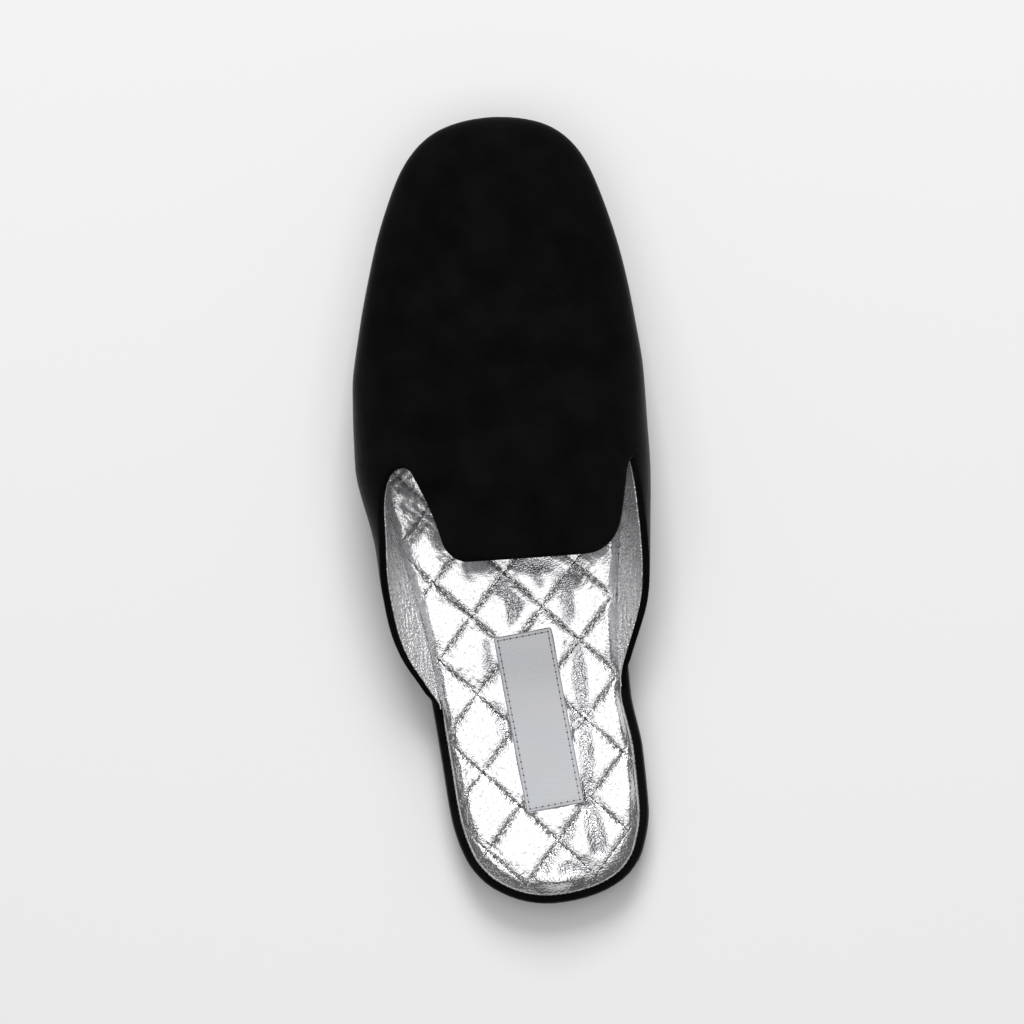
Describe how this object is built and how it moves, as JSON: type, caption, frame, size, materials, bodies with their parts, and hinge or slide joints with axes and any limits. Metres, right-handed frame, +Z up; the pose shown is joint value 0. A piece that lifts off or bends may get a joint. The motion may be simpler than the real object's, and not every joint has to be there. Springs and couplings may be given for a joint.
{
  "type": "mule slipper",
  "caption": "Backless mule slipper for the left foot: black velvet upper with a squared tongue, silver quilted footbed, bare grey label patch, thin wrapped sole",
  "frame": {"origin": "Bottom centre of the bounding box, on the floor under the middle of the slipper", "axes": "+Y to the toe, +Z up, +X to the inner side of the foot"},
  "size_m": [0.1005, 0.27, 0.0672],
  "materials": {
    "black_sole": "matt",
    "black_wrap": "short pile, matt",
    "silver_leather": "metallic foil with a fine crackle",
    "black_velvet": "velvet pile, matt",
    "grey_patch": "smooth, satin"
  },
  "bodies": {
    "root": {"outsole": "black_sole", "midsole": "black_wrap", "insole": "silver_leather", "upper": "black_velvet", "label": "grey_patch"}
  },
  "joints": []
}
